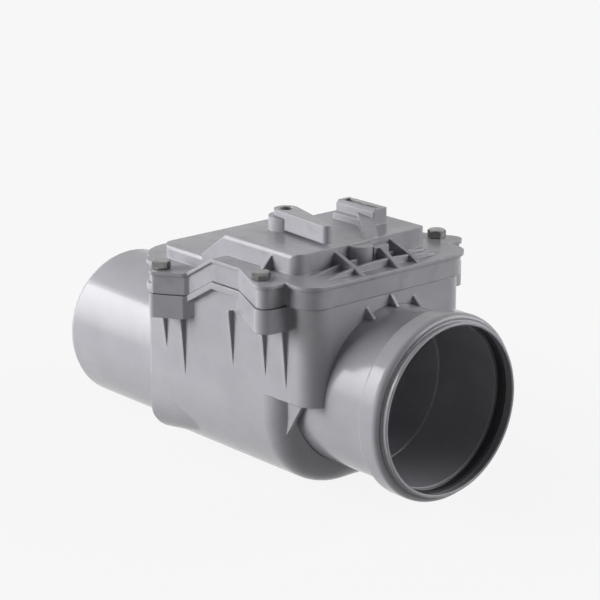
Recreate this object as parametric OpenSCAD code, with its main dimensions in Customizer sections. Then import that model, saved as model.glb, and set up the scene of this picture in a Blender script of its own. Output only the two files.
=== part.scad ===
// Backwater valve for a drain: a moulded chamber between an inlet socket and an outlet spigot,
// a bolted inspection lid with a locking lever, and a hinged flap that shuts against backflow.
// +X points to the inlet socket, +Z is up, and the underside rests on z = 0.

/* [Pipe ends] */
// Outer radius of the outlet spigot
spigot_r = 55; // [52:0.5:57]
// Length of the spigot behind the body
spigot_len = 112.5; // [70:0.5:140]
// Wall of the spigot
spigot_wall = 3.2; // [2.4:0.1:4.5]
// Height of the inlet axis above the outlet axis
axis_drop = 18.5; // [14:0.5:22]
// Wall of the socket tube
socket_wall = 2.5; // [2:0.1:3.5]
// Reach of the socket in front of the body
socket_out = 57.5; // [54:0.5:80]
// How far the bead stands proud of the socket tube
bead_rise = 5.2; // [4.8:0.1:6.6]
// Gap between a pipe and the socket bore
pipe_gap = 0.3; // [0.2:0.05:0.6]
// Radius of the bore through the inlet tube and the seat
way_r = 48; // [44:0.5:49]
// Wall of the inlet tube inside the chamber
way_wall = 3.5; // [2.5:0.1:4]

/* [Body] */
// Length of the body from rear wall to front face
body_len = 172; // [160:1:200]
// Width of the body
body_w = 138; // [134:1:150]
// Wall of the body and of the lid's hood
wall = 3.5; // [2.5:0.1:4.5]
// Radius of the upright corners
corner_r = 15; // [10:0.5:20]
// Radius of the rounded underside
under_r = 62; // [50:0.5:64]
// Setback of the lower front end behind the front face
low_back = 29.5; // [20:0.5:30.5]
// Radius of the round edge all along the lower front end
low_edge_r = 18; // [10:1:20]
// Radius of the upright rear corners below the flange
rear_r = 5; // [5:0.5:12]

/* [Flange and bolts] */
// Height of the front parting face above the inlet axis
part_rise = 66; // [64.5:0.5:72]
// Fall from the front parting level to the rear one
part_step = 15.5; // [8:0.5:16]
// Length of the sloped step along X
step_run = 27; // [20:0.5:32]
// Middle of the sloped step, measured from the rear wall
step_at = 62.5; // [56:0.5:70]
// Depth of the lid skirt and of the body ears
ear_deep = 16; // [13:0.5:18]
// How far the flange stands out from the body's side
flange_out = 4; // [2:0.5:5]
// Thickness of the body's flange between the ears
flange_t = 4.5; // [3:0.5:6]
// Thickness of the gasket
gasket_t = 2; // [1.5:0.1:3]
// Half the distance between the rear bolts
rear_bolt_y = 77.5; // [76:0.5:79]
// Half the distance between the front bolts
front_bolt_y = 78.5; // [78:0.5:81]
// Rear bolts, measured from the rear wall
bolt_rear = 28.5; // [24:0.5:32]
// Front bolts, measured from the rear wall
bolt_front = 134; // [131:0.5:136]
// Reach of the front ear beside its bolt
ear_r = 11.5; // [11:0.5:13]
// Radius of the front ear's outer corner
ear_corner = 8; // [7.5:0.5:9]
// Radius of the bolt shank
bolt_r = 4; // [3:0.25:4.5]
// Width of the bolt head across its flats
bolt_af = 11; // [10:0.5:13]

/* [Lid hood] */
// Height of the deck above the lid's front flange
deck_rise = 13.8; // [11:0.2:18]
// Height of the low rear part above the lid's rear flange
low_rise = 9.5; // [6:0.5:12]
// Width of the hood
hood_w = 117; // [108:0.5:118]
// Front of the hood behind the body's front face
hood_front = 26.5; // [24:0.5:30]
// Rear of the hood in front of the rear wall
hood_rear = 4; // [3:0.5:8]
// Round of the hood's long top edges
hood_edge = 3; // [1.5:0.5:3.5]
// Length of the hood's ramp along X
ramp_run = 27.5; // [24:0.5:34]
// Rear end of the deck, measured from the rear wall
deck_at = 74; // [68:0.5:76]

/* [Lock lever] */
// Pivot of the lever, measured from the rear wall
lever_x = 87.7; // [86:0.1:89]
// Pivot of the lever to the side of the middle
lever_y = 17.2; // [15:0.1:19]
// Length of the lever from pivot to tip
lever_len = 54.5; // [46:0.5:60]
// Angle of the lever at rest, turned from the pipe's line
lever_turn = 10.4; // [0:0.2:14]
// Radius of the round boss under the lever
boss_r = 12; // [10.6:0.1:12.4]
// Height of the boss above the deck
boss_h = 9; // [7:0.5:10]
// Radius of the lever's round end
eye_r = 8.4; // [8:0.1:9]
// Thickness of the lever over the boss
eye_t = 4.3; // [3:0.1:6]
// Half the width of the lever's tip
tip_half = 3.3; // [2.6:0.1:4.5]
// Radius of the lever's stem in the boss
stem_r = 7.4; // [6.8:0.1:7.6]
// Radius of the recess in the lever's eye
recess_r = 4.9; // [4.6:0.1:5.6]
// Height of the lock finger's peg below its arm
peg_drop = 7; // [5:0.5:8]

/* [Flap] */
// Tilt of the seat and the closed flap from upright
flap_tilt = 5; // [3:0.5:6]
// Height of the flap's hinge above the inlet axis
hinge_rise = 62; // [61:0.5:63.5]
// Hinge line behind the body's front face
hinge_back = 58.5; // [57:0.5:60]
// How far the flap reaches past the seat ring
flap_over = 0.5; // [0:0.1:1]
// Thickness of the flap
flap_t = 4.5; // [3.5:0.1:5]
// Thickness of the flap's rubber facing
facing_t = 2.7; // [2:0.1:2.8]
// Radius of the hinge pin
pin_r = 3; // [2.5:0.1:3.5]
// Height of the flap's stop tail above the hinge
tail_h = 18; // [17:0.25:18.5]

/* [Fits] */
// Radial clearance of a running fit
run_gap = 0.05; // [0.03:0.01:0.1]
// Clearance between pieces that move past each other
move_gap = 0.3; // [0.25:0.05:0.5]

/* [Hidden] */
$fn = 96;
grey = [0.53, 0.53, 0.56];
dark_grey = [0.40, 0.40, 0.43];
rubber = [0.06, 0.06, 0.06];
steel = [0.42, 0.42, 0.38];
brass = [0.72, 0.58, 0.30];

// Positions along X, with the origin at the middle of the whole length
total_len = spigot_len + body_len + socket_out;
spigot_x = -total_len / 2;
rear_x = spigot_x + spigot_len;
front_x = rear_x + body_len;
lip_x = front_x + socket_out;
low_x = front_x - low_back;
// Heights
collar_rise = 0.6;
outlet_z = spigot_r + collar_rise;
inlet_z = outlet_z + axis_drop;
part_z = inlet_z + part_rise;
rear_part_z = part_z - part_step;
step_x0 = rear_x + step_at - step_run / 2;
step_x1 = step_x0 + step_run;
lid_z = part_z + ear_deep;
rear_lid_z = rear_part_z + ear_deep;
deck_z = lid_z + deck_rise;
low_z = rear_lid_z + low_rise;
// Pipe radii
bore_r = spigot_r + pipe_gap;
tube_r = bore_r + socket_wall;
bead_r = tube_r + bead_rise;
way_out_r = way_r + way_wall;
stop_x = front_x - 10;
stop_rise = 1.2;
groove_x = lip_x - 15;
groove_r = bead_r - 3.8;
seal_w = 8;
ring_x = groove_x + seal_w;
// Hinge line of the flap
hinge_x = front_x - hinge_back;
hinge_z = inlet_z + hinge_rise;
// Flange outline
half_w = body_w / 2;
flange_half = half_w + flange_out;
lip_over = 1.5;
rear_over = 4;
front_over = 2.5;
tongue = 20;
tongue_r = 30;
lip_t = 2.5;
rim_gap = 0.5;
deck_t = 4;
bolt_x = [rear_x + bolt_rear, rear_x + bolt_front];
bolt_y = [rear_bolt_y, front_bolt_y];
// Middle of the front ear's round corner
ear_c = [bolt_x[1] + 5.5 + ear_r - ear_corner, ear_corner - ear_r - bolt_y[1] - 0.5];
ear_foot = 37;
hole_r = bolt_r + 0.4;
insert_r = bolt_r + 1.5;
insert_len = 12;
head_h = 5.5;
head_turn = 19;
// Hood
hood_half = hood_w / 2;
hood_x0 = rear_x + hood_rear;
hood_x1 = front_x - hood_front;
deck_x = rear_x + deck_at;
ramp_x = deck_x - ramp_run;
hood_r0 = 9;
hood_r1 = 8;
roof_z = deck_z - wall;
// Lever
pivot_x = rear_x + lever_x;
boss_z = deck_z + boss_h;
eye_z = boss_z + move_gap;
lever_z = eye_z + eye_t;
arm_z = deck_z + 1.7;
stem_z = roof_z - 1.8;
washer_t = 1.3;
washer_r = boss_r * 11 / 12;
hub_r = stem_r + 2.1;
arm_half = 4;
lever_sweep = 80;
finger_top = roof_z - move_gap - washer_t;
peg_r = 3;
peg_at = 33.2;
arm_top = hinge_z + tail_h + 6.5;
arm_low = hinge_z + tail_h + 2.5;
peg_z = arm_low - peg_drop;
tenon = 8;
tenon_h = 4;
// Flap and hinge, in a frame at the hinge tilted with the closed flap
seat_u = 6;
facing_u = seat_u - move_gap;
plate_u = facing_u - facing_t;
back_u = plate_u - flap_t;
knuckle_r = 6.5;
ear_in = 26;
ear_t = 6;
clip_t = 1.2;
tail_t = 4;
seat_end = hinge_x + 13;
sleeve_r = way_out_r + 3;
sleeve_len = 10;
flap_r = sleeve_r + flap_over;
clamp_r = flap_r * 6 / 11;
tube_end = max(low_x - wall - 8, seat_end + sleeve_len + 1);
tail_half = 4;

// Places its children at the hinge, in the closed flap's tilted frame
module at_hinge() {
  translate([hinge_x, 0, hinge_z]) rotate([0, flap_tilt, 0]) children();
}

// Revolves a profile of [x, radius] points about an axis along X at height z
module turned(z, points) {
  translate([0, 0, z]) rotate([0, 90, 0]) rotate_extrude() polygon([for (p = points) [p[1], p[0]]]);
}

// Cylinder along X
module rod_x(x0, x1, r, z, y = 0) {
  translate([x0, y, z]) rotate([0, 90, 0]) cylinder(r = r, h = x1 - x0);
}

// Cylinder along Y
module rod_y(y0, y1, r) {
  translate([0, y1, 0]) rotate([90, 0, 0]) cylinder(r = r, h = y1 - y0);
}

// Plan outline of a box whose rear and front corners have their own radius
module plan(x0, x1, half, r0, r1) {
  translate([x0 + r0, -half]) square([x1 - x0 - r0 - r1, 2 * half]);
  translate([x0, r0 - half]) square([x1 - x0 - r1, 2 * (half - r0)]);
  translate([x0 + r0, r1 - half]) square([x1 - x0 - r0, 2 * (half - r1)]);
  for (s = [-1, 1]) {
    translate([x0 + r0, s * (half - r0)]) circle(r0);
    translate([x1 - r1, s * (half - r1)]) circle(r1);
  }
}

// Extrudes a profile drawn in X and Z across the whole width
module across(half = 130) {
  translate([0, half, 0]) rotate([90, 0, 0]) linear_extrude(2 * half) children();
}

// Extrudes a profile drawn in Y and Z along X
module along(x0, x1) {
  translate([x0, 0, 0]) rotate([90, 0, 90]) linear_extrude(x1 - x0) children();
}

// The stepped parting line, raised by dz
function parting(dz) = [
  [-400, rear_part_z + dz], [step_x0, rear_part_z + dz], [step_x1, part_z + dz], [400, part_z + dz]
];
function back_to_front(list) = [for (i = [len(list) - 1 : -1 : 0]) list[i]];

// Slab that follows the stepped parting line between two heights
module slab(d0, d1) {
  across() polygon(concat(parting(d0), back_to_front(parting(d1))));
}

// Point where a line from p touches the circle about c on the side s
function touch(p, c, r, s) =
  let (d = norm(c - p), a = atan2(c[1] - p[1], c[0] - p[0]), b = s * asin(r / d), l = sqrt(d * d - r * r))
  p + l * [cos(a + b), sin(a + b)];

// Ears at the bolts: a front one with a flat end drawn out from a foot, and a rear one that ends at the step
module ears_plan(grow) {
  root = 1 - half_w;
  front_r = ear_corner + grow;
  foot = [bolt_x[1] - ear_foot, -half_w];
  rear = [bolt_x[0] + 1, -bolt_y[0] - 6.5];
  back_r = 4 + grow;
  back = [bolt_x[0] - 21, -half_w];
  end = [step_x0 - 0.5, 2 - bolt_y[0] - grow];
  for (s = [0, 1]) mirror([0, s]) {
    translate(ear_c) circle(front_r);
    polygon([
      foot, touch(foot, ear_c, front_r, -1), ear_c, [ear_c[0] + front_r, ear_c[1]],
      [ear_c[0] + front_r, root], [foot[0], root]
    ]);
    translate(rear) circle(back_r);
    polygon([
      back, touch(back, rear, back_r, -1), rear, touch(end, rear, back_r, 1), end,
      [step_x0 + 4, -half_w], [step_x0 + 4, root], [back[0], root]
    ]);
  }
}

// Outline of the flange with its four ears
module flange_plan(grow = 0) {
  plan(rear_x - rear_over - grow, front_x + front_over + grow, flange_half + grow, corner_r, corner_r);
  ears_plan(grow);
}

// Profile of the lower end in X and distance from its axis, with the round front edge
module low_profile(inset, r) {
  e = low_edge_r - inset;
  x0 = rear_x + inset;
  x1 = low_x - inset;
  square_from([x0, 0], [x1, r - e]);
  square_from([x0, 0], [x1 - e, r]);
  translate([x1 - e, r - e]) circle(e);
}

// Rectangle between two corners
module square_from(p, q) {
  translate(p) square(q - p);
}

// Lower end of the body: flat sides, a round underside and one round edge around its front
module low_form(inset) {
  half = half_w - inset;
  r = under_r - inset;
  flat = half - r;
  translate([0, 0, under_r]) linear_extrude(300)
    plan(rear_x + inset, low_x - inset, half, rear_r - inset, low_edge_r - inset);
  translate([0, 0, under_r]) mirror([0, 0, 1]) across(flat) low_profile(inset, r);
  for (s = [0, 1]) mirror([0, s, 0]) intersection() {
    translate([0, flat, under_r]) rotate([0, 90, 0]) rotate_extrude() mirror([1, -1]) low_profile(inset, r);
    translate([rear_x, flat, 0]) cube([body_len, r + 1, under_r]);
  }
}

// Outside of the body below the parting line, inset by a wall
module body_form(inset) {
  half = half_w - inset;
  intersection() {
    union() {
      low_form(inset);
      translate([0, 0, inlet_z + inset]) linear_extrude(300)
        plan(rear_x + inset, front_x - inset, half, rear_r - inset, corner_r - inset);
    }
    linear_extrude(300) plan(rear_x + inset, front_x - inset, half, rear_r - inset, corner_r - inset);
  }
}

// Triangular rib that stands out of the body's side and dies out downwards
module side_rib(x, drop, top) {
  for (s = [0, 1]) mirror([0, s, 0])
    translate([x - 1.25, -half_w, top]) rotate([90, 0, 90]) linear_extrude(2.5)
      polygon([[1, 0], [1, -drop], [0, -drop], [-3.5, -2], [-3.5, 0]]);
}

module body_ribs() {
  side_rib(bolt_x[0] - 7.5, 27, rear_part_z - ear_deep);
  side_rib(bolt_x[0] + 12.5, 42, rear_part_z - ear_deep);
  side_rib(bolt_x[1] - 41.7, 38, part_z - ear_deep);
  side_rib(bolt_x[1] - 8.6, 37, part_z - ear_deep);
  side_rib(bolt_x[1] + 11.9, 41, part_z - ear_deep);
  // Gussets between the front face and the socket tube
  for (y = [-21, 0, 21])
    translate([front_x - 1, y + 1.25, inlet_z + tube_r - y * y / 120]) rotate([90, 0, 0]) linear_extrude(2.5)
      polygon([[0, -6], [8, -6], [8, 0], [1, 8 - abs(y) / 12], [0, 8 - abs(y) / 12]]);
  // Gusset under each front corner of the upper box
  for (s = [-1, 1])
    translate([low_x - 24, s * (half_w - 9.5) + 1.5, inlet_z + 1]) rotate([90, 0, 0]) linear_extrude(3)
      polygon([[0, 0], [37.7, 0], [37, -1], [20, -28], [0, -28]]);
}

// Squarer lower corners at the rear wall, which run into the underside further forward
rim_r = 28;
rim_z = 11.5;
rim_run = 60;
module rear_corners() {
  intersection() {
    for (s = [0, 1]) mirror([0, s, 0])
      translate([rear_x, rim_r + 1 - half_w, rim_r + rim_z]) rotate([0, 85, 7]) translate([0, 0, -rim_r / 2])
        cylinder(r = rim_r, h = rim_run);
    linear_extrude(under_r) plan(rear_x, front_x, half_w, rear_r, corner_r);
  }
}

module valve_body() {
  color(grey) difference() {
    union() {
      intersection() {
        body_form(0);
        slab(-300, 0);
      }
      intersection() {
        slab(-flange_t, 0);
        linear_extrude(300) flange_plan();
        translate([rear_x - 50, -half_w - 50, 0]) cube([ear_c[0] - rear_x + 50, body_w + 100, 300]);
      }
      intersection() {
        slab(-ear_deep, 0);
        linear_extrude(300) ears_plan(0);
      }
      body_ribs();
      rear_corners();
    }
    body_form(wall);
    // Passages through the rear and front walls
    rod_x(rear_x - 5, rear_x + wall + 5, spigot_r - spigot_wall, outlet_z);
    rod_x(low_x - 40, front_x + 20, tube_r + run_gap, inlet_z);
    // Seats of the threaded inserts
    for (i = [0, 1], s = [-1, 1])
      translate([bolt_x[i], s * bolt_y[i], (i == 0 ? rear_part_z : part_z) - insert_len - 2])
        cylinder(r = insert_r, h = insert_len + 10);
  }
}

module outlet_spigot() {
  r = spigot_r;
  color(grey) turned(outlet_z, [
    [spigot_x, r - spigot_wall], [spigot_x, r - 1.6], [spigot_x + 3.5, r],
    [rear_x - 14, r], [rear_x - 14 + collar_rise, r + collar_rise], [rear_x, r + collar_rise],
    [rear_x, r - spigot_wall]
  ]);
}

// Bead of the socket: a plain band with a round front edge
bead_len = 19.5;
bead_edge = 4.4;
bead_back = 4.4;
module inlet_socket() {
  color(grey) turned(inlet_z, concat([
    [seat_end, way_r], [tube_end, way_r], [stop_x, bore_r - stop_rise], [stop_x, bore_r],
    [groove_x, bore_r], [groove_x, groove_r], [lip_x - bead_back, groove_r]
  ], [
    for (a = [10 : 20 : 90])
      [lip_x - bead_back - bead_edge * (1 - cos(a)), bead_r - 3.2 * (1 - sin(a))]
  ], [
    [lip_x - bead_len, bead_r], [lip_x - bead_len - 0.8, bead_r - 0.4], [lip_x - bead_len - 4, tube_r],
    [tube_end, tube_r], [tube_end, way_out_r], [seat_end, way_out_r]
  ]));
}

module inlet_seal() {
  color(rubber) turned(inlet_z, [
    [groove_x + run_gap, bore_r + 2.6], [groove_x + 4.2, bore_r + 2.6], [groove_x + 5, bore_r + 0.4],
    [ring_x - run_gap, bore_r + 0.4], [ring_x - run_gap, groove_r - run_gap],
    [groove_x + run_gap, groove_r - run_gap]
  ]);
}

// Ring that holds the seal in, with a thin lip around the mouth
lip_w = 2;
module seal_retainer() {
  mouth_r = bore_r + 0.8;
  color(grey) turned(inlet_z, [
    [ring_x, bore_r + 1.8], [lip_x - lip_w, bore_r + 1.8], [lip_x - lip_w, mouth_r],
    [lip_x - 0.4, mouth_r], [lip_x, mouth_r + 0.5], [lip_x, mouth_r + lip_w - 0.5],
    [lip_x - 0.4, mouth_r + lip_w], [lip_x - 3.4, mouth_r + lip_w],
    [lip_x - 3.4, groove_r - run_gap], [ring_x, groove_r - run_gap]
  ]);
}

// Profile of the hood in X and Z, inset by a wall
module hood_profile(inset) {
  slope = atan2(deck_z - low_z, ramp_run);
  k = inset * tan(slope / 2);
  polygon([
    [hood_x0 + inset, 0], [hood_x1 - inset, 0], [hood_x1 - inset, deck_z - inset],
    [deck_x + k, deck_z - inset], [ramp_x + k, low_z - inset], [hood_x0 + inset, low_z - inset]
  ]);
}

// Hood of the lid, inset by a wall, with rounded long edges on the deck and on the low rear part
module hood_form(inset) {
  half = hood_half - inset;
  e = hood_edge;
  m = e * (1 - sqrt(0.5));
  intersection() {
    across() hood_profile(inset);
    linear_extrude(300) plan(hood_x0 + inset, hood_x1 - inset, half, hood_r0 - inset, hood_r1 - inset);
    union() {
      along(hood_x0, deck_x - 2) polygon([
        [-half, 0], [half, 0], [half, low_z - inset - e], [half - m, low_z - inset - m],
        [half - e, low_z - inset], [half - e, deck_z], [e - half, deck_z], [e - half, low_z - inset],
        [m - half, low_z - inset - m], [-half, low_z - inset - e]
      ]);
      along(ramp_x + 2, hood_x1) polygon([
        [-half, 0], [half, 0], [half, deck_z - inset - e], [half - m, deck_z - inset - m],
        [half - e, deck_z - inset], [e - half, deck_z - inset], [m - half, deck_z - inset - m],
        [-half, deck_z - inset - e]
      ]);
    }
  }
}

// Raised features on the deck: lever boss, tag box on its plinth, and the sloping buttress
tag_x = [85.2, 122.5];
tag_y = [30, 42];
tag_h = 11.2;
tag_edge = 2.2;
plinth_h = 4;
plinth_y = 24;
slab_w = 9.5;
module deck_features() {
  translate([pivot_x, -lever_y, roof_z + 0.5]) cylinder(r = boss_r, h = boss_z - roof_z - 0.5);
  along(rear_x + tag_x[0], rear_x + tag_x[1]) polygon([
    [tag_y[0], roof_z + 0.5], [tag_y[0], deck_z + tag_h - tag_edge], [tag_y[0] + tag_edge, deck_z + tag_h],
    [tag_y[1], deck_z + tag_h], [tag_y[1], roof_z + 0.5]
  ]);
  translate([0, 0, roof_z + 0.5]) linear_extrude(wall + plinth_h - 0.5) {
    square_from([rear_x + tag_x[0] + 5, plinth_y], [rear_x + tag_x[1] - 4, tag_y[1] + 3]);
    square_from([rear_x + tag_x[0] + 1, plinth_y + 4], [rear_x + tag_x[1] - 4, tag_y[1] + 3]);
    translate([rear_x + tag_x[0] + 5, plinth_y + 4]) circle(4);
  }
  intersection() {
    translate([rear_x + 117, tag_y[0] - 2, deck_z - 1]) rotate([0, 0, -36.5]) rotate([90, 0, 0])
      translate([0, 0, -slab_w / 2]) linear_extrude(slab_w) polygon([[-8, 0], [40, 0], [40, 1], [-8, 7.8]]);
    linear_extrude(300)
      square_from([rear_x + tag_x[0], -20], [hood_x1 - 0.5, tag_y[0] + 2]);
  }
}

// Thin web in X and Z at the side y, from a list of points measured from the hood's front and the lid
module lid_web(y, t, points) {
  translate([hood_x1, y + t / 2, lid_z]) rotate([90, 0, 0]) linear_extrude(t) polygon(points);
}

// Ribs and webs between the hood and the front lip, and the gussets beside the front bolts
web_y = 24.5;
rib_t = 2.4;
module lid_ribs() {
  front = hood_front + front_over - lip_over;
  for (s = [-1, 1]) {
    lid_web(s * web_y, 3, [[-1, -1], [19, -1], [19, 4.2], [0.5, 10.5], [-1, 10.5]]);
    lid_web(s * web_y, 3, [[19, -1], [front - 1, -1], [front - 1, 0.3], [19, 4.2]]);
  }
  // Middle web from its block down to the lip
  lid_web(6, 3, [[-1, -1], [front + 0.5, -1], [front + 0.5, 0.4], [11, 10], [-1, 10]]);
  translate([hood_x1 - 1, 1, lid_z - 1]) cube([10, 13, deck_rise - 2]);
  // Two arched ribs across the front
  for (x = [5.5, 18])
    translate([0, 0, lid_z - 1]) along(hood_x1 + x - rib_t / 2, hood_x1 + x + rib_t / 2) intersection() {
      translate([0, 6 - 260]) circle(260, $fn = 400);
      square_from([-56, 0], [56, 10]);
    }
  translate([hood_x1 + 1.5, -5, lid_z - 1]) cylinder(r = 8.6, h = deck_rise - 0.2);
  for (s = [0, 1]) mirror([0, s, 0])
    translate([bolt_x[1] - 15.3, -hood_half + 1, lid_z - 1]) rotate([90, 0, 90]) linear_extrude(2.5)
      polygon([[0, 0], [-10, 0], [-10, 1], [-1, 10.5], [0, 10.5]]);
}

module lid() {
  color(grey) difference() {
    union() {
      intersection() {
        slab(rim_gap, ear_deep);
        linear_extrude(300) flange_plan(-lip_over);
      }
      intersection() {
        slab(ear_deep - lip_t, ear_deep);
        linear_extrude(300) flange_plan();
      }
      // Tongue of the lid behind the rear wall
      intersection() {
        slab(ear_deep - deck_t, ear_deep);
        linear_extrude(300) plan(rear_x - tongue, rear_x + 40, half_w - 2, tongue_r, 5);
      }
      intersection() {
        slab(ear_deep - deck_t, 300);
        hood_form(0);
      }
      deck_features();
      lid_ribs();
    }
    // Seat of the gasket
    intersection() {
      slab(-1, gasket_t);
      linear_extrude(300) gasket_plan(run_gap);
    }
    // Space under the flange plate and under the hood
    intersection() {
      slab(gasket_t - 1, ear_deep - deck_t);
      linear_extrude(300) plan(rear_x + wall, front_x - wall - 2, half_w - 6.5, corner_r - 3, corner_r - 3);
    }
    intersection() {
      slab(gasket_t - 1, 300);
      hood_form(wall);
    }
    // Bore of the lever's stem, bolt holes and the window of the tag box
    translate([pivot_x, -lever_y, roof_z - 5]) cylinder(r = stem_r + run_gap, h = 60);
    for (i = [0, 1], s = [-1, 1]) translate([bolt_x[i], s * bolt_y[i], 0]) cylinder(r = hole_r, h = 300);
    translate([rear_x + tag_x[0] + 2, tag_y[0] + 3, deck_z + tag_h - 2.5])
      cube([tag_x[1] - tag_x[0] - 4, tag_y[1] - tag_y[0] - 5, 10]);
  }
}

// Outer outline of the gasket
module gasket_plan(grow) {
  plan(rear_x - 0.5 - grow, front_x - 1 + grow, half_w - 0.5 + grow, corner_r, corner_r);
}

module lid_gasket() {
  color(rubber) intersection() {
    slab(0, gasket_t);
    linear_extrude(300) difference() {
      gasket_plan(0);
      plan(rear_x + wall + 2, front_x - wall - 2, half_w - 6, corner_r - 4, corner_r - 4);
    }
  }
}

module tag_plate() {
  color(dark_grey) translate([rear_x + tag_x[0] + 2 + run_gap, tag_y[0] + 3 + run_gap, deck_z + tag_h - 2.5])
    cube([tag_x[1] - tag_x[0] - 4 - 2 * run_gap, tag_y[1] - tag_y[0] - 5 - 2 * run_gap, 1.2]);
}

// Hexagon bolt through one ear: i is 0 at the rear and 1 in front
module lid_bolt(i, s) {
  top = i == 0 ? rear_lid_z : lid_z;
  color(steel) translate([bolt_x[i], s * bolt_y[i], top]) {
    rotate(head_turn) cylinder(d = bolt_af / cos(30), h = head_h, $fn = 6);
    translate([0, 0, -ear_deep - insert_len]) cylinder(r = bolt_r - run_gap, h = ear_deep + insert_len + 1);
  }
}

// Threaded insert in one body ear
module ear_insert(i, s) {
  top = i == 0 ? rear_part_z : part_z;
  color(brass) translate([bolt_x[i], s * bolt_y[i], top - insert_len]) difference() {
    cylinder(r = insert_r - run_gap, h = insert_len);
    translate([0, 0, -1]) cylinder(r = bolt_r, h = insert_len + 2);
  }
}

// Ring on the end of the inlet tube, with a slanted sealing face and two hinge ears
module seat_ring() {
  color(grey) difference() {
    union() {
      difference() {
        turned(inlet_z, [
          [hinge_x - 20, way_r], [seat_end, way_r], [seat_end, way_out_r + run_gap],
          [seat_end + sleeve_len, way_out_r + run_gap], [seat_end + sleeve_len, sleeve_r],
          [hinge_x - 20, sleeve_r]
        ]);
        // The sealing face is cut parallel to the closed flap
        at_hinge() translate([seat_u - 100, -100, -200]) cube([100, 200, 300]);
      }
      for (s = [-1, 1])
        translate([0, s * (ear_in + ear_t / 2), 0]) {
          translate([hinge_x, 0, hinge_z]) rod_y(-ear_t / 2, ear_t / 2, knuckle_r);
          translate([0, ear_t / 2, 0]) rotate([90, 0, 0]) linear_extrude(ear_t) polygon([
            [hinge_x - 4.6, hinge_z - 4.6], [hinge_x + 4.6, hinge_z + 4.6],
            [seat_end + sleeve_len, inlet_z + sleeve_r * 0.8], [seat_end, inlet_z + way_out_r * 0.85]
          ]);
        }
    }
    rod_x(seat_end - 40, seat_end + 5, way_r, inlet_z);
    rod_x(seat_end, seat_end + 40, way_out_r + run_gap, inlet_z);
    translate([hinge_x, 0, hinge_z]) rod_y(-60, 60, pin_r);
  }
}

pin_half = ear_in + ear_t + 4;
clip_y = ear_in + ear_t + 0.1;
module hinge_pin() {
  color(steel) translate([hinge_x, 0, hinge_z]) difference() {
    rod_y(-pin_half, pin_half, pin_r - run_gap);
    for (s = [0, 1]) mirror([0, s, 0]) difference() {
      rod_y(clip_y, clip_y + clip_t, pin_r + 2);
      rod_y(clip_y - 1, clip_y + clip_t + 1, pin_r - 0.7);
    }
  }
}

// Ring clip in the groove at one end of the hinge pin
module pin_clip(s) {
  color(steel) translate([hinge_x, 0, hinge_z]) mirror([0, s < 0 ? 1 : 0, 0]) difference() {
    rod_y(clip_y + 0.05, clip_y + clip_t - 0.05, pin_r + 2.2);
    rod_y(clip_y - 1, clip_y + clip_t + 1, pin_r - 0.7 + run_gap);
    translate([0, clip_y - 1, -1.2]) cube([20, 4, 2.4]);
  }
}

// Flap: a ribbed disc with a hinge knuckle above it and a stop tail on top
module flap() {
  mid = -hinge_rise / cos(flap_tilt);
  color(dark_grey) at_hinge() difference() {
    union() {
      rod_x(back_u, plate_u, flap_r, mid);
      rod_x(back_u - 3.5, back_u + 1, 14, mid);
      difference() {
        rod_x(back_u - 3, back_u + 1, flap_r - 4, mid);
        rod_x(back_u - 9, back_u + 3, flap_r - 8, mid);
      }
      for (y = [-22, 0, 22]) translate([back_u - 3, y - 1.5, mid - 44]) cube([4, 3, 88]);
      rod_y(-ear_in + move_gap, ear_in - move_gap, knuckle_r);
      translate([back_u - 2, -20, -16]) cube([plate_u - back_u + 2, 40, 14]);
      translate([-tail_t / 2, -lever_y - tail_half, 3]) cube([tail_t, 2 * tail_half, tail_h - 3]);
    }
    rod_y(-60, 60, pin_r + run_gap);
    rod_x(back_u - 20, plate_u + 20, 4.2, mid);
    translate([plate_u, -80, mid - 80]) cube([40, 160, 80 - mid - knuckle_r - 1]);
  }
}

// Rubber disc on the flap's sealing side
module flap_facing() {
  mid = -hinge_rise / cos(flap_tilt);
  color(rubber) at_hinge() difference() {
    rod_x(plate_u, facing_u, sleeve_r - 0.8, mid);
    rod_x(plate_u - 5, facing_u + 5, 4.2, mid);
  }
}

module facing_clamp() {
  mid = -hinge_rise / cos(flap_tilt);
  color(steel) at_hinge() difference() {
    rod_x(facing_u, facing_u + 1.5, clamp_r, mid);
    rod_x(facing_u - 5, facing_u + 5, 4.2, mid);
  }
}

module flap_screw() {
  mid = -hinge_rise / cos(flap_tilt);
  color(steel) at_hinge() {
    translate([facing_u + 1.5, 0, mid]) rotate([0, 90, 0]) cylinder(r1 = 8, r2 = 5.5, h = 3.2);
    rod_x(back_u - 12, facing_u + 2, 4, mid);
  }
}

module flap_nut() {
  mid = -hinge_rise / cos(flap_tilt);
  color(steel) at_hinge() difference() {
    translate([back_u - 3.5 - 6.5, 0, mid]) rotate([0, 90, 0]) cylinder(d = 15, h = 6.5, $fn = 6);
    rod_x(back_u - 20, back_u, 4 + run_gap, mid);
  }
}

// Places its children on the lever's axis, turned with the lever at rest
module at_lever(turn = 0) {
  translate([pivot_x, -lever_y, 0]) rotate([0, 0, turn - lever_turn]) children();
}

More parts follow.
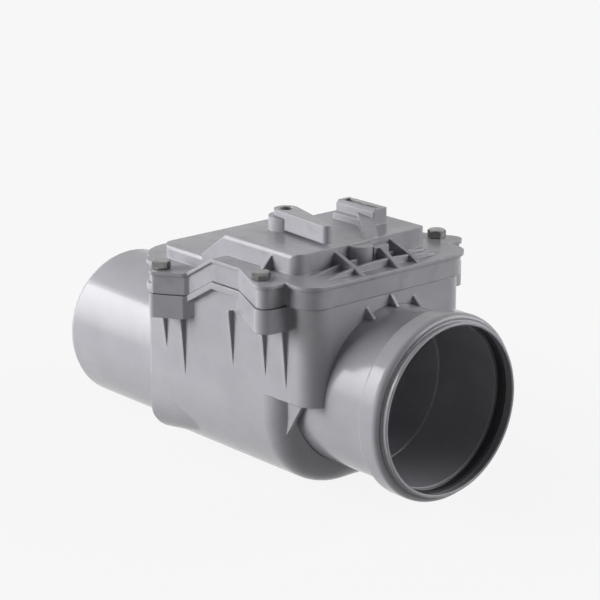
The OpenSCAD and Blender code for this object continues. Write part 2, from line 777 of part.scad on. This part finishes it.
// Lever: a tapered arm that hangs down beside the boss, with a stem through the deck
module lever_arm() {
  color(grey) at_lever() difference() {
    union() {
      difference() {
        translate([0, 0, arm_z]) linear_extrude(lever_z - arm_z) {
          circle(eye_r);
          tip_x = lever_len - tip_half;
          polygon([[0, eye_r], [tip_x, tip_half], [tip_x, -tip_half], [0, -eye_r]]);
          translate([tip_x, 0]) circle(tip_half);
        }
        translate([0, 0, arm_z - 1]) cylinder(r = boss_r + 0.6, h = eye_z - arm_z + 1);
      }
      translate([0, 0, stem_z]) cylinder(r = stem_r, h = lever_z - stem_z);
      translate([-tenon / 2, -tenon / 2, stem_z - tenon_h]) cube([tenon, tenon, tenon_h + 1]);
    }
    translate([0, 0, deck_z + 2]) cylinder(r = recess_r, h = 60);
    translate([0, 0, stem_z - 20]) cylinder(r = 2.2, h = 60);
    // Groove of the sealing ring
    translate([0, 0, deck_z - 1.2]) difference() {
      cylinder(r = stem_r + 2, h = 2.2);
      translate([0, 0, -1]) cylinder(r = stem_r - 1.5, h = 5);
    }
  }
}

module lever_screw() {
  color(steel) at_lever() {
    translate([0, 0, deck_z + 2]) cylinder(r = 4, h = 2.6);
    translate([0, 0, arm_low + 0.5]) cylinder(r = 2.1, h = deck_z + 3 - arm_low);
  }
}

module stem_o_ring() {
  color(rubber) at_lever() translate([0, 0, deck_z - 0.1]) rotate_extrude()
    translate([stem_r - 0.65, 0]) circle(0.7, $fn = 32);
}

module thrust_washer() {
  color(steel) at_lever() translate([0, 0, finger_top]) difference() {
    cylinder(r = washer_r, h = washer_t);
    translate([0, 0, -1]) cylinder(r = stem_r + run_gap, h = 5);
  }
}

// Finger on the foot of the stem: turned across, its peg stands in the way of the flap's tail
module lock_finger() {
  color(dark_grey) at_lever(lever_turn + lever_sweep) difference() {
    union() {
      translate([0, 0, arm_low]) cylinder(r = hub_r, h = finger_top - arm_low);
      translate([0, -arm_half, arm_low]) cube([peg_at, 2 * arm_half, arm_top - arm_low]);
      translate([peg_at, 0, peg_z]) cylinder(r = peg_r, h = arm_top - peg_z);
      translate([peg_at, 0, arm_low]) cylinder(r = arm_half, h = arm_top - arm_low);
    }
    rotate([0, 0, -lever_turn - lever_sweep])
      translate([-tenon / 2 - run_gap, -tenon / 2 - run_gap, stem_z - tenon_h - 0.2])
        cube([tenon + 2 * run_gap, tenon + 2 * run_gap, 30]);
    translate([0, 0, stem_z]) cylinder(r = stem_r + run_gap, h = 30);
    translate([0, 0, arm_low - 1]) cylinder(r = 2.1 + run_gap, h = 30);
  }
}

valve_body();
outlet_spigot();
inlet_socket();
inlet_seal();
seal_retainer();
lid();
lid_gasket();
tag_plate();
lid_bolt(1, -1);  // bolt_front_left
lid_bolt(1, 1);  // bolt_front_right
lid_bolt(0, -1);  // bolt_rear_left
lid_bolt(0, 1);  // bolt_rear_right
ear_insert(1, -1);  // insert_front_left
ear_insert(1, 1);  // insert_front_right
ear_insert(0, -1);  // insert_rear_left
ear_insert(0, 1);  // insert_rear_right
seat_ring();
hinge_pin();
pin_clip(-1);  // pin_clip_left
pin_clip(1);  // pin_clip_right
flap();
flap_facing();
facing_clamp();
flap_screw();
flap_nut();
lever_arm();
lever_screw();
stem_o_ring();
thrust_washer();
lock_finger();
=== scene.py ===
"""Backwater valve: the finishes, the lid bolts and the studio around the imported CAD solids."""
import math

import bmesh
import bpy
from bpy.props import FloatProperty, FloatVectorProperty, IntProperty, PointerProperty
from mathutils import Matrix, Vector


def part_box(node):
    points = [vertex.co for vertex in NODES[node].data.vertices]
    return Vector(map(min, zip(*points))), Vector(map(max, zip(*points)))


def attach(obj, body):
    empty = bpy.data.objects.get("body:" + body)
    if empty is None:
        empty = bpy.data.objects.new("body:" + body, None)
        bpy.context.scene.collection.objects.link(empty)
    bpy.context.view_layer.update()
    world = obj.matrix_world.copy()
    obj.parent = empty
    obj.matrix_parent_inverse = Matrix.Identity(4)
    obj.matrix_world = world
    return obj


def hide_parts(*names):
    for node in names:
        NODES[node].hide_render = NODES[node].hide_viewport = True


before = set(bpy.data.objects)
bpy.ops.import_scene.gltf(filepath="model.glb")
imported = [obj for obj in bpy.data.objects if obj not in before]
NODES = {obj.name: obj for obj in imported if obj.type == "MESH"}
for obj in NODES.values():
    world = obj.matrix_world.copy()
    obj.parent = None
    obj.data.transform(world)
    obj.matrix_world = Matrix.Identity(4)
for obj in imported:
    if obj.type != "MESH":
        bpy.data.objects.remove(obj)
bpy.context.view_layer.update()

bl_info = {
    "name": "Backwater valve dresser",
    "version": (1, 0, 0),
    "blender": (4, 5, 0),
    "location": "View3D > Sidebar > Valve",
    "description": "Finishes, fasteners and studio for a moulded drain backwater valve",
    "category": "Object",
}

MM = 0.001

# CAD nodes by their finish
HOUSING = ("valve_body", "seal_retainer", "seat_ring")
PIPES = ("outlet_spigot", "inlet_socket")
SEALS = ("inlet_seal", "lid_gasket", "flap_facing", "stem_o_ring")
INNER_PLASTIC = ("flap", "lock_finger")
BRIGHT_METAL = ("hinge_pin", "pin_clip_left", "pin_clip_right", "facing_clamp", "flap_screw",
                "flap_nut", "thrust_washer")
INSERTS = ("insert_front_left", "insert_front_right", "insert_rear_left", "insert_rear_right")
BOLTS = ("bolt_front_left", "bolt_front_right", "bolt_rear_left", "bolt_rear_right")

# Strength of the handling smudges away from the lid
HOUSING_HANDLED = 0.12
PIPES_HANDLED = 0.08

# How much rougher the flap's and the tag's plastic are than the housing
FLAP_DULLER = 0.06
TAG_DULLER = 0.15

# Radii of the softened edges on small pieces
TAG_EDGE = 0.2 * MM
METAL_EDGE = 0.35 * MM
RUBBER_EDGE = 0.4 * MM

# Samples of a softened edge, and the departure of its normal over which the painted edge highlight rises
EDGE_SAMPLES = 6
EDGE_RISE = (0.01, 0.22)

# Numbers of a Mix node's colour sockets
MIX_FIRST = 6
MIX_SECOND = 7
MIX_RESULT = 2

# Bolt head: its flat top and washer face as parts of half the width across flats, the ring within
# the flat top as a part of that, the chamfer's slope and the washer face's height
HEAD_TOP = 0.94
HEAD_CORE = 0.6
HEAD_CHAMFER = math.radians(28)
WASHER_FACE = 0.96
WASHER_STEP = 0.45 * MM

# Bolt thread: its depth in pitches, the part of that depth which is cut, the part of the shank that it
# takes, its rings to a pitch, and the end as a part of the root
THREAD_DEPTH = 0.61
THREAD_CUT = 0.98
THREAD_SHARE = 0.72
THREAD_RINGS = 4
POINT_SHARE = 0.9

# Studio: where the panels aim, and the tall softbox's rows, size, place on the floor, level of its
# lowest row and the power by which the rows rise to full
PANEL_AIM = (0, 0, 0.1)
SOFTBOX_ROWS = 10
SOFTBOX_SIZE = (2.0, 1.9)
SOFTBOX_STAND = (-2.45, -1.53)
SOFTBOX_LOWEST = 0.13
SOFTBOX_RISE = 0.8

# Floor: its size, the ring in which the shadow fades out, what it throws back at the object, and the
# even and the shaded part of its tone near the object
FLOOR_RADIUS = 9.0
FLOOR_SIDES = 64
FLOOR_DROP = 0.4 * MM
SHADOW_FADE = (0.16, 0.42)
FLOOR_BOUNCE = 0.35
SHADOW_GLOW = 0.95
SHADOW_DEPTH = 0.057

# Room light: its levels at the rear and at the inlet, and where it passes from one to the other
ROOM_REAR = 1.2
ROOM_INLET = 0.7
ROOM_FADE = (-0.2, 0.9)

# Camera of the photograph: its place, the direction back to it, its lens and sensor in millimetres,
# and how far it sees in metres
CAMERA_PLACE = Vector((1116.8, -959.2, 552.1)) * MM
CAMERA_BACK = Vector((0.7199, -0.6316, 0.2879)).normalized()
CAMERA_LENS = 133.43
CAMERA_SENSOR = 36.0
CAMERA_REACH = 50.0


class ValveFinish(bpy.types.PropertyGroup):
    """Colours and surface sizes of the valve's materials."""
    grey: FloatVectorProperty(name="Housing grey", description="Colour of the moulded housing",
                              subtype="COLOR", default=(0.36, 0.357, 0.388), min=0, max=1)
    dark_grey: FloatVectorProperty(name="Inner grey", description="Colour of the flap and the finger",
                                   subtype="COLOR", default=(0.13, 0.13, 0.14), min=0, max=1)
    rubber: FloatVectorProperty(name="Rubber", description="Colour of the seals",
                                subtype="COLOR", default=(0.018, 0.018, 0.019), min=0, max=1)
    zinc: FloatVectorProperty(name="Bolt zinc", description="Colour of the dull plated bolts",
                              subtype="COLOR", default=(0.21, 0.209, 0.206), min=0, max=1)
    steel: FloatVectorProperty(name="Stainless", description="Colour of the pins, clips and screws",
                               subtype="COLOR", default=(0.52, 0.52, 0.51), min=0, max=1)
    brass: FloatVectorProperty(name="Brass", description="Colour of the threaded inserts",
                               subtype="COLOR", default=(0.62, 0.45, 0.19), min=0, max=1)
    tag: FloatVectorProperty(name="Tag", description="Colour of the insert in the tag box",
                             subtype="COLOR", default=(0.22, 0.22, 0.18), min=0, max=1)
    gloss: FloatProperty(name="Housing roughness", description="Roughness of the moulded plastic",
                         default=0.14, min=0.05, max=1)
    lid_gloss: FloatProperty(name="Lid roughness", description="Roughness of the lid and its lever",
                             default=0.26, min=0.05, max=1)
    handled: FloatProperty(name="Handling smudges", default=0.42, min=0, max=1,
                           description="Strength of the smudges on the lid and its lever")
    drawn: FloatProperty(name="Draw lines", description="Depth of the fine lines along the pipe ends",
                         default=1.6, min=0)
    edge: FloatProperty(name="Edge radius", description="Radius of the softened moulded edges",
                        default=1.1 * MM, min=0, max=3 * MM, unit="LENGTH")


class ValveBolt(bpy.types.PropertyGroup):
    """Sizes of the lid bolts that the CAD box does not give."""
    head: FloatProperty(name="Head height", description="Height of the hexagon head",
                        default=5.5 * MM, unit="LENGTH")
    flats: FloatProperty(name="Across flats", description="Width of the head across its flats",
                         default=11.0 * MM, unit="LENGTH")
    turn: FloatVectorProperty(name="Head turns", size=4, unit="ROTATION",
                              description="Turn of each head: front left and right, rear left and right",
                              default=[math.radians(angle) for angle in (2, 40, 58, 34)])
    shank: FloatProperty(name="Shank radius", description="Outer radius of the thread",
                         default=3.95 * MM, unit="LENGTH")
    pitch: FloatProperty(name="Pitch", description="Pitch of the thread",
                         default=1.25 * MM, unit="LENGTH")
    sides: IntProperty(name="Sides", description="Points around a bolt, a multiple of six",
                       default=72, min=24, max=144)


class ValveStudio(bpy.types.PropertyGroup):
    """Levels of the studio light."""
    key: FloatProperty(name="Side softbox", description="Power of the tall softbox at the left rear",
                       default=56.0, min=0, unit="POWER")
    top: FloatProperty(name="Top softbox", description="Power of the softbox above",
                       default=0.8, min=0, unit="POWER")
    left: FloatProperty(name="Left panel", description="Power of the panel that lights the long side",
                        default=33.0, min=0, unit="POWER")
    right: FloatProperty(name="Right panel", description="Power of the panel that lights the socket end",
                         default=23.0, min=0, unit="POWER")
    fill: FloatProperty(name="Room", description="Strength of the room light", default=0.06, min=0)
    paper: FloatProperty(name="Paper", description="Level of the pale background",
                         default=0.93, min=0, max=1)


class Wire:
    """A shader socket for use in Python expressions: each operator adds one Math node."""

    def __init__(self, tree, socket):
        self.tree = tree
        self.socket = socket

    @classmethod
    def node(cls, tree, kind, settings=None, inputs=None, output=0):
        """Adds a node: its settings first, then the values or links of its sockets."""
        made = tree.nodes.new(kind)
        for name, value in (settings or {}).items():
            setattr(made, name, value)
        for name, value in (inputs or {}).items():
            socket = made.inputs[name]
            if isinstance(value, Wire):
                tree.links.new(value.socket, socket)
            else:
                socket.default_value = value
        return cls(tree, made.outputs[output] if len(made.outputs) else None)

    def _math(self, operation, *values):
        return Wire.node(self.tree, "ShaderNodeMath", {"operation": operation}, dict(enumerate(values)))

    def __add__(self, other):
        return self._math("ADD", self, other)

    def __radd__(self, other):
        return self._math("ADD", other, self)

    def __sub__(self, other):
        return self._math("SUBTRACT", self, other)

    def __rsub__(self, other):
        return self._math("SUBTRACT", other, self)

    def __mul__(self, other):
        return self._math("MULTIPLY", self, other)

    def __rmul__(self, other):
        return self._math("MULTIPLY", other, self)

    def sway(self, reach):
        """Noise from 0 to 1, moved to swing about 0 and scaled."""
        return (self - 0.5) * reach

    def smooth(self, low, high):
        """0 below low, 1 above high and a soft step between."""
        return Wire.node(self.tree, "ShaderNodeMapRange", {"interpolation_type": "SMOOTHSTEP"},
                         {"Value": self, "From Min": low, "From Max": high})


def rgba(colour, level=1.0):
    """A colour at a level, with its alpha."""
    return (*(min(c * level, 1.0) for c in colour[:3]), 1.0)


def neutral(level):
    """A grey without a cast."""
    return (level, level, level, 1.0)


def mix_colour(tree, factor, first, second):
    """The second colour over the first by a factor."""
    return Wire.node(tree, "ShaderNodeMix", {"data_type": "RGBA"},
                     {"Factor": factor, MIX_FIRST: first, MIX_SECOND: second}, MIX_RESULT)


def new_material(name):
    """An empty node material; returns it, its tree and the place on the object."""
    made = bpy.data.materials.new(name)
    made.use_nodes = True
    tree = made.node_tree
    tree.nodes.clear()
    return made, tree, Wire.node(tree, "ShaderNodeTexCoord", output="Object")


def noise(tree, place, scale, detail=3.0, rough=0.5):
    """Noise of so many cells to a metre; three scales stretch it along the axes."""
    if isinstance(scale, tuple):
        place = Wire.node(tree, "ShaderNodeMapping", {"vector_type": "POINT"},
                          {"Vector": place, "Scale": scale})
        scale = 1.0
    return Wire.node(tree, "ShaderNodeTexNoise", {},
                     {"Vector": place, "Scale": scale, "Detail": detail, "Roughness": rough})


def softened(tree, radius):
    """Normal of a surface whose edges are rounded to a radius."""
    return Wire.node(tree, "ShaderNodeBevel", {"samples": EDGE_SAMPLES}, {"Radius": radius})


def painted_edge_highlight(tree, normal):
    """0 on plain faces, rising to 1 along the softened edges, where a highlight is painted."""
    plain = Wire.node(tree, "ShaderNodeNewGeometry", output="Normal")
    along = Wire.node(tree, "ShaderNodeVectorMath", {"operation": "DOT_PRODUCT"},
                      {0: normal, 1: plain}, "Value")
    return (1 - along).smooth(*EDGE_RISE)


def relief(tree, normal, height, strength, depth):
    """Fine relief on top of the softened edges."""
    return Wire.node(tree, "ShaderNodeBump", {},
                     {"Strength": strength, "Distance": depth, "Height": height, "Normal": normal})


def to_output(tree, shader):
    """Ends a material in a shader."""
    Wire.node(tree, "ShaderNodeOutputMaterial", {}, {"Surface": shader})


def principled(tree, sockets):
    """Ends a material in the main shader with the given values and links."""
    to_output(tree, Wire.node(tree, "ShaderNodeBsdfPrincipled", {}, sockets))


def moulded_plastic(name, colour, gloss, edge_radius, handled=HOUSING_HANDLED, drawn=0.0):
    """Moulded plastic: mottling, flow streaks, grain, a painted highlight along the edges, scuffs,
    smudges and draw lines.
    """
    made, tree, place = new_material(name)
    mottle = noise(tree, place, scale=26.0, detail=4.0, rough=0.55)
    streak = noise(tree, place, scale=(9.0, 60.0, 60.0)).smooth(0.45, 0.75)
    grain = noise(tree, place, scale=2600.0, detail=2.0)
    scuff = noise(tree, place, scale=(900.0, 900.0, 70.0), detail=2.0).smooth(0.68, 0.8)
    smudge = noise(tree, place, scale=(62.0, 85.0, 85.0)).smooth(0.48, 0.74)
    lines = noise(tree, place, scale=(5.0, 420.0, 420.0), rough=0.6)
    normal = softened(tree, edge_radius)
    # Each layer's share, and the level of the colour that it leads to
    layers = (
        (streak * 0.35, 1.07),
        # Painted highlight: the colour is made lighter along the softened edges
        (painted_edge_highlight(tree, normal) * 0.6, 1.42),
        (scuff * 0.1, 1.22),
        (smudge * handled, 0.72),
    )
    tone = mix_colour(tree, mottle.smooth(0.3, 0.7), rgba(colour, 0.955), rgba(colour, 1.04))
    for share, level in layers:
        tone = mix_colour(tree, share, tone, rgba(colour, level))
    principled(tree, {
        "Base Color": tone,
        "Roughness": gloss + mottle.sway(0.06) + grain.sway(0.05) + scuff * 0.03,
        "IOR": 1.48,
        "Normal": relief(tree, normal, grain + lines * drawn, strength=0.12, depth=0.12 * MM),
    })
    return made


def seal_rubber(name, colour):
    """Matt black rubber with a dusty bloom."""
    made, tree, place = new_material(name)
    bloom = noise(tree, place, scale=55.0, detail=4.0, rough=0.6)
    grain = noise(tree, place, scale=2200.0, detail=2.0)
    normal = softened(tree, RUBBER_EDGE)
    principled(tree, {
        "Base Color": mix_colour(tree, bloom.smooth(0.4, 0.8) * 0.5, rgba(colour), rgba(colour, 2.1)),
        "Roughness": 0.52 + bloom.sway(0.2),
        "Normal": relief(tree, normal, grain, strength=0.2, depth=0.1 * MM),
    })
    return made


def worked_metal(name, colour, gloss, patch, patch_share):
    """Metal with a blotchy plated or turned surface and a painted highlight along its edges."""
    made, tree, place = new_material(name)
    blotch = noise(tree, place, scale=210.0, detail=5.0, rough=0.6)
    grain = noise(tree, place, scale=(2400.0, 2400.0, 500.0), detail=2.0)
    normal = softened(tree, METAL_EDGE)
    tone = mix_colour(tree, blotch.smooth(0.42, 0.66) * patch_share, rgba(colour), rgba(patch))
    principled(tree, {
        # Painted highlight: the colour is made lighter along the softened edges
        "Base Color": mix_colour(tree, painted_edge_highlight(tree, normal) * 0.5, tone, rgba(colour, 1.7)),
        "Metallic": 1 - blotch.smooth(0.45, 0.8) * 0.35,
        "Roughness": gloss + blotch.sway(0.25) + grain.sway(0.1),
        "Normal": relief(tree, normal, grain, strength=0.15, depth=0.08 * MM),
    })
    return made


def dress(nodes, made):
    """Puts one material on CAD nodes."""
    for name in nodes:
        slots = NODES[name].data.materials
        slots.clear()
        slots.append(made)


def to_object(name, bm, made):
    """Turns a bmesh into an object of the scene with one material."""
    data = bpy.data.meshes.new(name)
    bm.to_mesh(data)
    bm.free()
    data.materials.append(made)
    placed = bpy.data.objects.new(name, data)
    bpy.context.scene.collection.objects.link(placed)
    return placed


def new_piece(name, bm, made, body, replaced):
    """Turns a closed bmesh into a piece that rides on a body and stands for a CAD node."""
    bmesh.ops.recalc_face_normals(bm, faces=bm.faces)
    piece = to_object(name, bm, made)
    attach(piece, body)
    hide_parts(replaced)


def even(value):
    """The same value at every angle of a ring."""
    return lambda angle: value


def ring(bm, centre, radius_at, height_at, sides, turn=0.0):
    """A ring of points about the Z axis; radius and height are functions of the angle."""
    made = []
    for i in range(sides):
        angle = 2 * math.pi * i / sides
        radius, bearing = radius_at(angle), angle + turn
        point = Vector((radius * math.cos(bearing), radius * math.sin(bearing), height_at(angle)))
        made.append(bm.verts.new(centre + point))
    return made


def bridge(bm, lower, upper):
    """Faces between two rings of the same number of points."""
    count = len(lower)
    for i in range(count):
        j = (i + 1) % count
        bm.faces.new((lower[i], lower[j], upper[j], upper[i]))


def hex_radius(flats):
    """Distance to the side of a hexagon of the given width across flats, by angle from a corner."""
    def at(angle):
        within = angle % (math.pi / 3) - math.pi / 6
        return flats / 2 / math.cos(within)
    return at


def bolt_mesh(size, turn, low, high):
    """Hexagon bolt in a box: chamfered head, washer face and a threaded shank with a pointed end."""
    hexagon = hex_radius(size.flats)
    top = size.flats / 2 * HEAD_TOP
    washer = size.flats / 2 * WASHER_FACE
    under = high.z - size.head
    rim = under + WASHER_STEP
    root = size.shank - THREAD_DEPTH * size.pitch
    turns = int((under - low.z) * THREAD_SHARE / size.pitch)
    start = low.z + size.pitch * (turns + 1)

    def chamfer(angle):
        return high.z - (hexagon(angle) - top) * math.tan(HEAD_CHAMFER)

    def thread(pitches):
        """Radius of the thread so many pitches down; it grows to its depth over the first one."""
        def at(angle):
            phase = (pitches + angle / (2 * math.pi)) % 1.0
            depth = (size.shank - root) * (1 - abs(2 * phase - 1)) * THREAD_CUT
            return size.shank - min(1.0, pitches) * depth
        return at

    outline = [
        (even(top * HEAD_CORE), even(high.z)),
        (even(top), even(high.z)),
        (hexagon, chamfer),
        (hexagon, even(rim)),
        (even(washer), even(rim)),
        (even(washer), even(under)),
        (even(size.shank), even(under)),
    ]
    for k in range(turns * THREAD_RINGS + 1):
        pitches = k / THREAD_RINGS
        outline.append((thread(pitches), even(start - size.pitch * pitches)))
    outline.append((even(root * POINT_SHARE), even(low.z)))

    bm = bmesh.new()
    centre = Vector(((low.x + high.x) / 2, (low.y + high.y) / 2, 0))
    rings = [ring(bm, centre, radius, height, size.sides, turn) for radius, height in outline]
    bm.faces.new(rings[0])
    for first, second in zip(rings, rings[1:]):
        bridge(bm, first, second)
    bm.faces.new(rings[-1])
    return bm


def softbox(name, power, size, place, aim=PANEL_AIM):
    """A rectangular area lamp that faces a point."""
    lamp = bpy.data.lights.new(name, "AREA")
    lamp.shape = "RECTANGLE"
    lamp.size, lamp.size_y = size
    lamp.energy = power
    made = bpy.data.objects.new(name, lamp)
    made.location = place
    made.rotation_euler = (Vector(aim) - Vector(place)).to_track_quat("-Z", "Y").to_euler()
    bpy.context.scene.collection.objects.link(made)
    return made


def tall_softbox(power):
    """Softbox that stands on the floor at the left rear, in rows that grow brighter upwards."""
    width, height = SOFTBOX_SIZE
    row_height = height / SOFTBOX_ROWS
    levels = [SOFTBOX_LOWEST + (1 - SOFTBOX_LOWEST) * (row / (SOFTBOX_ROWS - 1)) ** SOFTBOX_RISE
              for row in range(SOFTBOX_ROWS)]
    for row, level in enumerate(levels):
        middle = (row + 0.5) * row_height
        softbox(f"side_softbox_{row}", power * level / sum(levels), (width, row_height),
                (*SOFTBOX_STAND, middle), (0, 0, middle))


def open_rays(tree):
    """1 for what is seen directly, in a gloss or through glass, and 0 for the light on the object."""
    seen, mirrored, through = (Wire.node(tree, "ShaderNodeLightPath", output=f"Is {way} Ray")
                               for way in ("Camera", "Glossy", "Transmission"))
    return (seen + mirrored + through).smooth(0.0, 1.0)


def lay_floor(paper):
    """Pale floor: one paper tone, with the object's soft shadow near it."""
    made, tree, place = new_material("floor_paper")
    away = Wire.node(tree, "ShaderNodeVectorMath", {"operation": "LENGTH"}, {0: place}, "Value")
    glow = Wire.node(tree, "ShaderNodeEmission", {}, {"Color": paper, "Strength": 1.0})
    dimmed = Wire.node(tree, "ShaderNodeEmission", {}, {"Color": paper, "Strength": SHADOW_GLOW})
    shaded = Wire.node(tree, "ShaderNodeBsdfDiffuse", {}, {"Color": neutral(SHADOW_DEPTH)})
    near = Wire.node(tree, "ShaderNodeAddShader", {}, {0: dimmed, 1: shaded})
    shown = Wire.node(tree, "ShaderNodeMixShader", {}, {0: away.smooth(*SHADOW_FADE), 1: near, 2: glow})
    bounce = Wire.node(tree, "ShaderNodeBsdfDiffuse", {}, {"Color": neutral(FLOOR_BOUNCE)})
    to_output(tree, Wire.node(tree, "ShaderNodeMixShader", {}, {0: open_rays(tree), 1: bounce, 2: shown}))
    bm = bmesh.new()
    bm.faces.new(ring(bm, Vector(), even(FLOOR_RADIUS), even(-FLOOR_DROP), FLOOR_SIDES))
    to_object("studio_floor", bm, made)


def room_light(scene, fill, paper):
    """Room: an even paper tone where it is seen, and a low light that falls off towards the inlet."""
    world = bpy.data.worlds.new("studio_room")
    scene.world = world
    world.use_nodes = True
    tree = world.node_tree
    tree.nodes.clear()
    rear, inlet, seen = (
        Wire.node(tree, "ShaderNodeBackground", {}, {"Color": colour, "Strength": strength})
        for colour, strength in ((neutral(1.0), fill * ROOM_REAR), (neutral(1.0), fill * ROOM_INLET),
                                 (paper, 1.0)))
    way = Wire.node(tree, "ShaderNodeTexCoord", output="Generated")
    to_inlet = Wire.node(tree, "ShaderNodeSeparateXYZ", {}, {0: way}, "X").smooth(*ROOM_FADE)
    room = Wire.node(tree, "ShaderNodeMixShader", {}, {0: to_inlet, 1: rear, 2: inlet})
    shown = Wire.node(tree, "ShaderNodeMixShader", {}, {0: open_rays(tree), 1: room, 2: seen})
    Wire.node(tree, "ShaderNodeOutputWorld", {}, {"Surface": shown})


def set_camera(scene):
    """Camera of the photograph, upright."""
    right = Vector((0, 0, 1)).cross(CAMERA_BACK).normalized()
    up = CAMERA_BACK.cross(right)
    lens = bpy.data.cameras.new("photo_camera")
    lens.sensor_fit = "HORIZONTAL"
    lens.sensor_width = CAMERA_SENSOR
    lens.lens = CAMERA_LENS
    lens.clip_end = CAMERA_REACH
    made = bpy.data.objects.new("photo_camera", lens)
    turned = Matrix((right, up, CAMERA_BACK)).transposed().to_4x4()
    made.matrix_world = Matrix.Translation(CAMERA_PLACE) @ turned
    scene.collection.objects.link(made)
    scene.camera = made


class VALVE_OT_housing(bpy.types.Operator):
    """Gives the body, the pipe ends and the lid their grey moulded plastic"""
    bl_idname = "valve.housing"
    bl_label = "Housing"

    def execute(self, context):
        look = context.scene.valve_finish
        dress(HOUSING, moulded_plastic("housing_grey", look.grey, look.gloss, look.edge))
        dress(PIPES, moulded_plastic("pipe_grey", look.grey, look.gloss, look.edge,
                                     PIPES_HANDLED, look.drawn))
        dress(("lid",), moulded_plastic("lid_grey", look.grey, look.lid_gloss, look.edge, look.handled))
        return {"FINISHED"}


class VALVE_OT_lever(bpy.types.Operator):
    """Gives the locking lever its plastic and its screw its steel"""
    bl_idname = "valve.lever"
    bl_label = "Locking lever"

    def execute(self, context):
        look = context.scene.valve_finish
        dress(("lever_arm",), moulded_plastic("lever_grey", look.grey, look.lid_gloss, look.edge,
                                              look.handled))
        dress(("lever_screw",), worked_metal("lever_screw_steel", look.steel, gloss=0.36,
                                             patch=neutral(0.3), patch_share=0.5))
        return {"FINISHED"}


class VALVE_OT_seals(bpy.types.Operator):
    """Gives the seals, the gasket and the flap's facing their black rubber"""
    bl_idname = "valve.seals"
    bl_label = "Seals"

    def execute(self, context):
        dress(SEALS, seal_rubber("seal_rubber", context.scene.valve_finish.rubber))
        return {"FINISHED"}


class VALVE_OT_flap(bpy.types.Operator):
    """Gives the flap and the locking finger their dark plastic"""
    bl_idname = "valve.flap"
    bl_label = "Flap and finger"

    def execute(self, context):
        look = context.scene.valve_finish
        dress(INNER_PLASTIC, moulded_plastic("flap_dark_grey", look.dark_grey,
                                             look.gloss + FLAP_DULLER, look.edge))
        return {"FINISHED"}


class VALVE_OT_metal(bpy.types.Operator):
    """Gives the pins, clips, screws and inserts their metals"""
    bl_idname = "valve.metal"
    bl_label = "Pins and inserts"

    def execute(self, context):
        look = context.scene.valve_finish
        dress(BRIGHT_METAL, worked_metal("stainless_steel", look.steel, gloss=0.32,
                                         patch=neutral(0.43), patch_share=0.6))
        dress(INSERTS, worked_metal("insert_brass", look.brass, gloss=0.36,
                                    patch=(0.4, 0.29, 0.13), patch_share=0.6))
        return {"FINISHED"}


class VALVE_OT_tag(bpy.types.Operator):
    """Gives the insert in the tag box its olive tone"""
    bl_idname = "valve.tag"
    bl_label = "Tag insert"

    def execute(self, context):
        look = context.scene.valve_finish
        dress(("tag_plate",), moulded_plastic("tag_olive", look.tag, look.gloss + TAG_DULLER, TAG_EDGE))
        return {"FINISHED"}


class VALVE_OT_bolts(bpy.types.Operator):
    """Builds the four lid bolts with chamfered heads and rolled threads"""
    bl_idname = "valve.bolts"
    bl_label = "Lid bolts"

    def execute(self, context):
        look, size = context.scene.valve_finish, context.scene.valve_bolt
        zinc = worked_metal("bolt_zinc", look.zinc, gloss=0.15,
                            patch=(0.08, 0.08, 0.078), patch_share=0.6)
        for name, turn in zip(BOLTS, size.turn):
            low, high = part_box(name)
            new_piece(name + "_made", bolt_mesh(size, turn, low, high), zinc, "valve", name)
        return {"FINISHED"}


class VALVE_OT_stage(bpy.types.Operator):
    """Sets up the pale floor, the softboxes, the room light and the camera"""
    bl_idname = "valve.stage"
    bl_label = "Studio"

    def execute(self, context):
        scene = context.scene
        studio = scene.valve_studio
        paper = neutral(studio.paper)
        scene.view_settings.view_transform = "Standard"
        lay_floor(paper)
        room_light(scene, studio.fill, paper)
        tall_softbox(studio.key)
        softbox("top_softbox", studio.top, size=(1.2, 1.2), place=(-0.2, 0.1, 1.9))
        softbox("right_panel", studio.right, size=(1.6, 1.3), place=(1.2, 1.15, 0.75))
        left = softbox("left_panel", studio.left, size=(1.1, 0.9), place=(-0.98, -1.52, 0.5))
        left.visible_glossy = False
        set_camera(scene)
        return {"FINISHED"}


class VALVE_PT_panel(bpy.types.Panel):
    """Lists the valve's pieces and their sizes in the sidebar"""
    bl_idname = "VALVE_PT_panel"
    bl_label = "Backwater valve"
    bl_space_type = "VIEW_3D"
    bl_region_type = "UI"
    bl_category = "Valve"

    def draw(self, context):
        for made in PIECES:
            self.layout.operator(made.bl_idname)
        for name, group in GROUPS.items():
            box = self.layout.box()
            for key in group.__annotations__:
                box.prop(getattr(context.scene, name), key)


PIECES = (VALVE_OT_housing, VALVE_OT_lever, VALVE_OT_seals, VALVE_OT_flap, VALVE_OT_metal, VALVE_OT_tag,
          VALVE_OT_bolts, VALVE_OT_stage)
GROUPS = {"valve_finish": ValveFinish, "valve_bolt": ValveBolt, "valve_studio": ValveStudio}
CLASSES = (*GROUPS.values(), *PIECES, VALVE_PT_panel)


def register():
    for made in CLASSES:
        bpy.utils.register_class(made)
    for name, group in GROUPS.items():
        setattr(bpy.types.Scene, name, PointerProperty(type=group))


def unregister():
    for name in GROUPS:
        delattr(bpy.types.Scene, name)
    for made in reversed(CLASSES):
        bpy.utils.unregister_class(made)


def main():
    register()
    bpy.ops.valve.housing()
    bpy.ops.valve.lever()
    bpy.ops.valve.seals()
    bpy.ops.valve.flap()
    bpy.ops.valve.metal()
    bpy.ops.valve.tag()
    bpy.ops.valve.bolts()
    bpy.ops.valve.stage()


if __name__ == "__main__":
    main()
